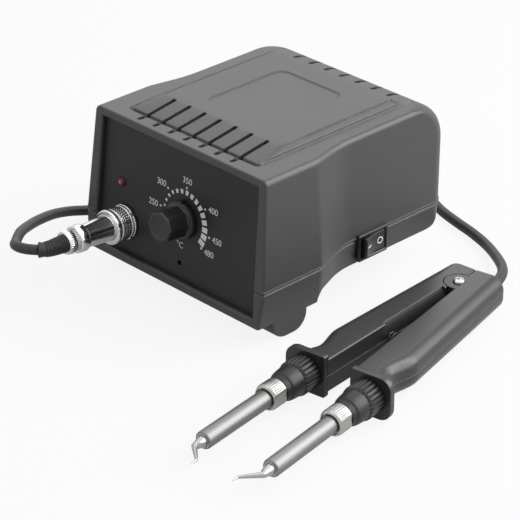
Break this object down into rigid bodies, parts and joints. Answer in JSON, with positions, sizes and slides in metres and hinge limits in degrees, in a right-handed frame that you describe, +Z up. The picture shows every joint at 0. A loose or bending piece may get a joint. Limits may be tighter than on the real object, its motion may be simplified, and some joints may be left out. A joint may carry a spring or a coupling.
{
  "type": "soldering tweezers station",
  "caption": "Black soldering station with a temperature dial and a pair of hot tweezers, plugged in by a coiled black cord and lying beside it.",
  "frame": {"origin": "on the table, under the middle of the box round the station and the handpiece together", "axes": "+Z up from the table, the control panel faces -Y, the handpiece lies on the +X side"},
  "size_m": [0.2653, 0.3134, 0.0908],
  "materials": {
    "case_black": "fine textured moulded plastic",
    "panel_black": "smooth matte panel",
    "handle_black": "fine textured moulded plastic",
    "rubber_black": "matte",
    "screw_steel": "zinc plated",
    "knob_black": "satin",
    "lamp_red": "tinted lens",
    "white_plastic": "plain",
    "trimmer_blue": "plain",
    "board_green": "solder mask",
    "component_black": "plain",
    "lamination": "varnished laminations",
    "coil_tape": "wrapping tape",
    "switch_black": "polished",
    "plug_chrome": "polished",
    "cord_black": "silicone sheath",
    "nose_black": "satin",
    "nut_nickel": "nickel plated, knurled",
    "barrel_steel": "fine turned",
    "heater_ceramic": "unglazed"
  },
  "bodies": {
    "station": {"upper_cover": "case_black", "base_tray": "case_black", "front_panel": "panel_black", "rear_feet": "rubber_black", "case_screws": "screw_steel", "potentiometer_body": "screw_steel", "potentiometer_nut": "screw_steel", "heating_lamp": "lamp_red", "lamp_spacer": "white_plastic", "calibration_trimmer": "trimmer_blue", "control_board": "board_green", "terminal_block": "board_green", "power_triac": "component_black", "filter_capacitor": "component_black", "transformer_core": "lamination", "transformer_coil": "coil_tape", "transformer_frame": "screw_steel", "transformer_screws": "screw_steel", "switch_housing": "switch_black", "mains_gland": "rubber_black", "panel_socket": "plug_chrome", "socket_nut": "plug_chrome", "plug_body": "plug_chrome", "plug_clamp_nut": "plug_chrome", "plug_boot": "rubber_black", "cord_left": "cord_black", "cord_coil": "cord_black", "coil_tie": "cord_black", "cord_right": "cord_black"},
    "temperature_dial": {"temperature_knob": "knob_black", "potentiometer_shaft": "screw_steel"},
    "power_rocker": {"power_rocker": "switch_black"},
    "trimmer_rotor": {"trimmer_rotor": "white_plastic"},
    "coupling_ring": {"coupling_ring": "plug_chrome"},
    "handpiece": {"cord_arm_upper_shell": "handle_black", "cord_arm_lower_shell": "handle_black", "pivot_screw": "screw_steel", "pivot_nut": "screw_steel", "return_spring": "screw_steel", "tail_bush": "rubber_black", "cord_arm_screws": "screw_steel", "cord_arm_collar": "nose_black", "cord_arm_nose": "nose_black", "cord_arm_barrel_nut": "nut_nickel", "cord_arm_barrel": "barrel_steel", "cord_arm_heater": "heater_ceramic", "cord_arm_tip": "barrel_steel"},
    "swing_arm": {"swing_arm_upper_shell": "handle_black", "swing_arm_lower_shell": "handle_black", "swing_arm_screws": "screw_steel", "swing_arm_collar": "nose_black", "swing_arm_nose": "nose_black", "swing_arm_barrel_nut": "nut_nickel", "swing_arm_barrel": "barrel_steel", "swing_arm_heater": "heater_ceramic", "swing_arm_tip": "barrel_steel"}
  },
  "joints": [
    {"name": "temperature_turn", "type": "hinge", "parent": "station", "child": "temperature_dial", "pos_m": [-0.0437, -0.0192, 0.0474], "axis": [0, -0.9959, 0.0906], "range_deg": [-125, 80]},
    {"name": "power_rocking", "type": "hinge", "parent": "station", "child": "power_rocker", "pos_m": [0.0078, 0.063, 0.0254], "axis": [0, 0, -1], "range_deg": [0, 18]},
    {"name": "calibration_turn", "type": "hinge", "parent": "station", "child": "trimmer_rotor", "pos_m": [-0.0447, -0.01141, 0.02259], "axis": [0, -0.9959, 0.0906], "range_deg": [-135, 135]},
    {"name": "coupling_turn", "type": "hinge", "parent": "station", "child": "coupling_ring", "pos_m": [-0.0854, -0.02465, 0.03157], "axis": [0, -0.9985, 0.0541], "continuous": true},
    {"name": "handpiece_lift", "type": "slide", "parent": "station", "child": "handpiece", "axis": [0, 0, 1], "range_m": [0, 0.08]},
    {"name": "tweezer_pivot", "type": "hinge", "parent": "handpiece", "child": "swing_arm", "pos_m": [0.0614, 0.0714, 0.01125], "axis": [0, 0, 1], "range_deg": [0, 6.35], "stiffness_Nm_per_rad": 0.6, "deforming": ["return_spring"]}
  ]
}
